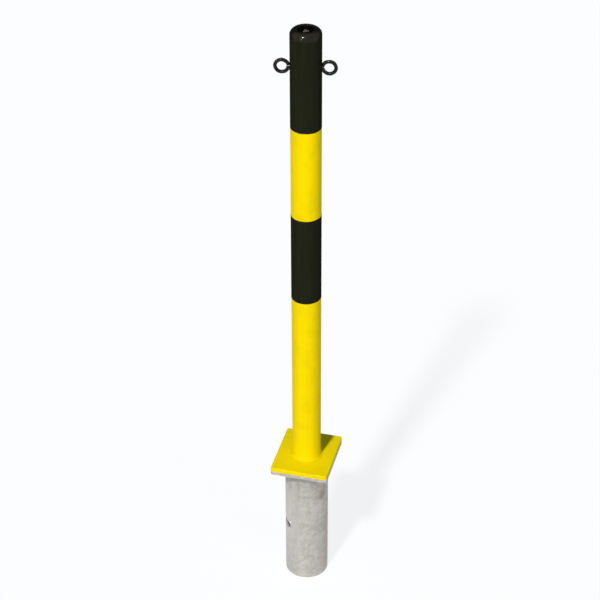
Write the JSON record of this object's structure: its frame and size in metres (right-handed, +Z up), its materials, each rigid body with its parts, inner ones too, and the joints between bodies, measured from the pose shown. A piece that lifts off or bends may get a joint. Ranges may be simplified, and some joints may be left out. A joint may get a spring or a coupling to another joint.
{
  "type": "removable bollard",
  "caption": "Round steel post in black and yellow bands with a chain eye on each side and a key lock in its head, which lifts out of a galvanised ground socket.",
  "frame": {"origin": "centre of the ground sleeve's lower end, which the whole bollard stands on", "axes": "+Z up along the post's axis, +X and +Y square to the sides of the two plates, and the notch in the flange towards +Y"},
  "size_m": [0.122, 0.14, 1.3199],
  "materials": {
    "yellow_coat": "semi-gloss yellow coat",
    "black_coat": "semi-gloss black coat",
    "galvanised": "hot-dip galvanised, dull and faintly mottled",
    "plain_steel": "plain turned steel"
  },
  "bodies": {
    "socket": {"socket_flange": "galvanised", "socket_sleeve": "galvanised", "socket_weld": "galvanised", "guide_ring": "galvanised"},
    "post": {"foot_bush": "galvanised", "base_plate": "yellow_coat", "base_weld": "yellow_coat", "post_tube": "yellow_coat", "head_cap": "black_coat", "spindle_bush": "black_coat", "upper_black_band": "black_coat", "lower_black_band": "black_coat", "left_chain_eye": "black_coat", "right_chain_eye": "black_coat", "left_eye_weld": "black_coat", "right_eye_weld": "black_coat"},
    "lock_spindle": {"key_stud": "plain_steel", "stop_collar": "plain_steel", "collar_pin": "plain_steel", "lock_rod": "plain_steel", "latch_tongue": "plain_steel", "tongue_pin": "plain_steel"}
  },
  "joints": [
    {"name": "post_lift", "type": "slide", "parent": "socket", "child": "post", "axis": [0, 0, 1], "range_m": [0, 0.18]},
    {"name": "lock_turn", "type": "hinge", "parent": "post", "child": "lock_spindle", "pos_m": [0, 0, 1.3], "axis": [0, 0, 1], "range_deg": [0, 90]}
  ]
}
